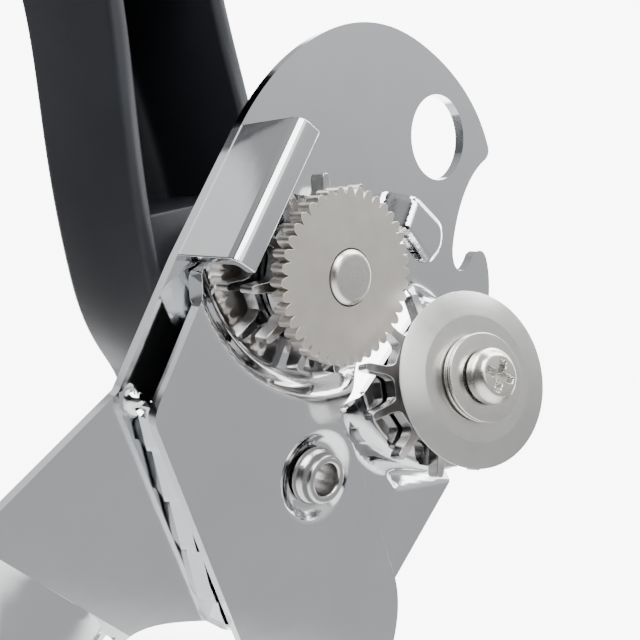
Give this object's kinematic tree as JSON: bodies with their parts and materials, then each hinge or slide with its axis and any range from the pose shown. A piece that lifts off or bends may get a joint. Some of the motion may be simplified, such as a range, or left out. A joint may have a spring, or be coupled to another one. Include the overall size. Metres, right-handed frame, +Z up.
{
  "type": "manual can opener",
  "caption": "Manual can opener: two plated sheet arms crossed at a hollow rivet, a crank key with a serrated feed wheel, and a geared, leaning cutter wheel.",
  "frame": {"origin": "centre of the hanging hole, in the head's front face", "axes": "+Z up, from the handles to the head, with the arms upright and closed; -Y forwards, the way the cutter and feed wheels face; +X to the right, the side of the bottle-opening claw, seen from the front"},
  "size_m": [0.0743, 0.0651, 0.1862],
  "materials": {
    "plated_sheet": "bright plated sheet steel",
    "plated_rivet": "bright plated steel",
    "zinc_steel": "bright zinc plate",
    "dark_steel": "bright steel, a little darker",
    "ground_steel": "turned and ground, with a satin bevel",
    "satin_nickel": "satin nickel plate",
    "black_plastic": "moulded, satin"
  },
  "bodies": {
    "rear": {"rear_arm": "plated_sheet", "pivot_rivet": "plated_rivet", "pivot_washer": "zinc_steel", "cutter_post": "dark_steel", "cutter_screw": "zinc_steel", "cutter_washer_outer": "zinc_steel", "cutter_washer_inner": "zinc_steel"},
    "cutter": {"cutter_wheel": "ground_steel", "cutter_spacer": "dark_steel", "cutter_gear": "dark_steel"},
    "front": {"front_arm": "plated_sheet", "shaft_bush": "zinc_steel", "gear_washer": "zinc_steel"},
    "crank": {"drive_shaft": "zinc_steel", "feed_gear": "dark_steel", "feed_wheel": "satin_nickel", "crank_sleeve": "zinc_steel", "crank_washer": "zinc_steel", "crank_knob": "black_plastic"}
  },
  "joints": [
    {"name": "arm_hinge", "type": "hinge", "parent": "rear", "child": "front", "pos_m": [-0.0139, -0.0045, -0.0499], "axis": [0, -1, 0], "range_deg": [0, 6]},
    {"name": "crank_spin", "type": "hinge", "parent": "front", "child": "crank", "pos_m": [-0.0199, -0.0045, -0.0257], "axis": [0, -1, 0], "continuous": true},
    {"name": "cutter_spin", "type": "hinge", "parent": "rear", "child": "cutter", "pos_m": [-0.001, -0.0153, -0.0337], "axis": [-0.3244, -0.9272, 0.1873], "continuous": true}
  ],
  "couplings": [
    {"joint": "cutter_spin", "follows": "crank_spin", "ratio": -1}
  ]
}
